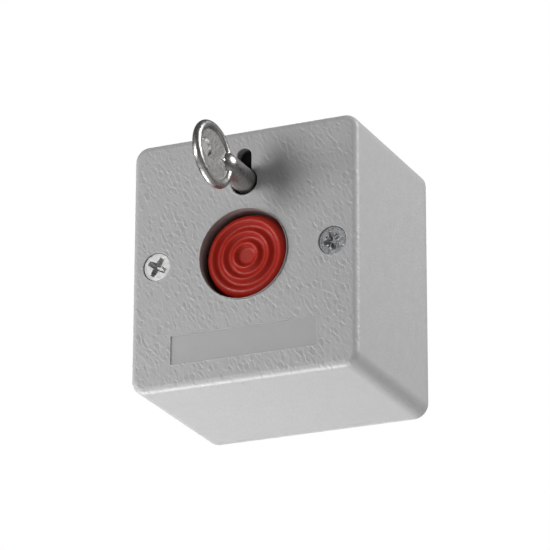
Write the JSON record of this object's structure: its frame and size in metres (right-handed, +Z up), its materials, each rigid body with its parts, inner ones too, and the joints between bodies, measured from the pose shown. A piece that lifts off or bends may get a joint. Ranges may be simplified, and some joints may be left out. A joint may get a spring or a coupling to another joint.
{
  "type": "emergency push button with key reset",
  "caption": "Wall-mounted hold-up button in a deep box cover: a ribbed round button sits in a bore, latches when pressed and is reset by a round key above it.",
  "frame": {"origin": "centre of the back face, on the wall plane", "axes": "+Y into the wall, so the front faces -Y; +Z up; +X to the right of someone facing it"},
  "size_m": [0.068, 0.0812, 0.0732],
  "materials": {
    "cover_plastic": "light grey textured moulding",
    "base_plastic": "light grey moulding",
    "red_plastic": "satin red moulding",
    "black_plastic": "black moulding",
    "green_plastic": "green moulding",
    "board": "solder-masked laminate",
    "zinc_steel": "zinc plated",
    "spring_steel": "drawn wire",
    "nickel_plate": "satin nickel plate",
    "brass": "turned"
  },
  "bodies": {
    "casing": {"cover": "cover_plastic", "cover_screw_1": "zinc_steel", "cover_screw_2": "zinc_steel", "base_plate": "base_plastic", "post_insert_1": "brass", "post_insert_2": "brass", "mechanism_plate": "zinc_steel", "plate_screw_1": "zinc_steel", "plate_screw_2": "zinc_steel", "plate_screw_3": "zinc_steel", "plate_screw_4": "zinc_steel", "latch_stud_1": "zinc_steel", "latch_stud_2": "zinc_steel", "latch_spring": "spring_steel", "return_spring": "spring_steel", "circuit_board": "board", "board_screw_1": "zinc_steel", "board_screw_2": "zinc_steel", "board_screw_3": "zinc_steel", "board_screw_4": "zinc_steel", "switch_body": "black_plastic", "switch_cover": "black_plastic", "switch_terminal_1": "zinc_steel", "switch_terminal_2": "zinc_steel", "switch_terminal_3": "zinc_steel", "lever_pin": "zinc_steel", "terminal_block": "green_plastic", "terminal_screw_1": "zinc_steel", "terminal_screw_2": "zinc_steel", "terminal_screw_3": "zinc_steel", "terminal_clamp_1": "zinc_steel", "terminal_clamp_2": "zinc_steel", "terminal_clamp_3": "zinc_steel"},
    "button": {"button_cap": "red_plastic", "button_stem": "black_plastic"},
    "lever": {"switch_lever": "spring_steel"},
    "switch_plunger": {"switch_button": "red_plastic"},
    "rotor": {"key_barrel": "brass", "release_cam": "zinc_steel", "cam_screw": "zinc_steel"},
    "key": {"reset_key": "nickel_plate"},
    "latch": {"latch_slide": "zinc_steel"}
  },
  "joints": [
    {"name": "button_press", "type": "slide", "parent": "casing", "child": "button", "axis": [0, 1, 0], "range_m": [0, 0.0045], "stiffness_N_per_m": 600, "springref_m": -0.004, "deforming": ["return_spring"]},
    {"name": "lever_swing", "type": "hinge", "parent": "casing", "child": "lever", "pos_m": [-0.0135, -0.0243, 0], "axis": [0, 0, 1], "range_deg": [0, 18]},
    {"name": "switch_plunge", "type": "slide", "parent": "casing", "child": "switch_plunger", "axis": [0, 1, 0], "range_m": [0, 0.0014]},
    {"name": "key_turn", "type": "hinge", "parent": "casing", "child": "rotor", "pos_m": [0, -0.034, 0.0212], "axis": [0, 1, 0], "range_deg": [0, 75], "stiffness_Nm_per_rad": 0.02, "springref_deg": -11.46},
    {"name": "key_withdraw", "type": "slide", "parent": "rotor", "child": "key", "axis": [0, -1, 0], "range_m": [0, 0.0163]},
    {"name": "latch_release", "type": "slide", "parent": "casing", "child": "latch", "axis": [0, 0, -1], "range_m": [0, 0.00121], "deforming": ["latch_spring"]}
  ],
  "couplings": [
    {"joint": "lever_swing", "follows": "button_press", "rad_per_m": 68.6},
    {"joint": "switch_plunge", "follows": "button_press", "ratio": 0.2944},
    {"joint": "latch_release", "follows": "key_turn", "m_per_rad": 0.00091673}
  ]
}
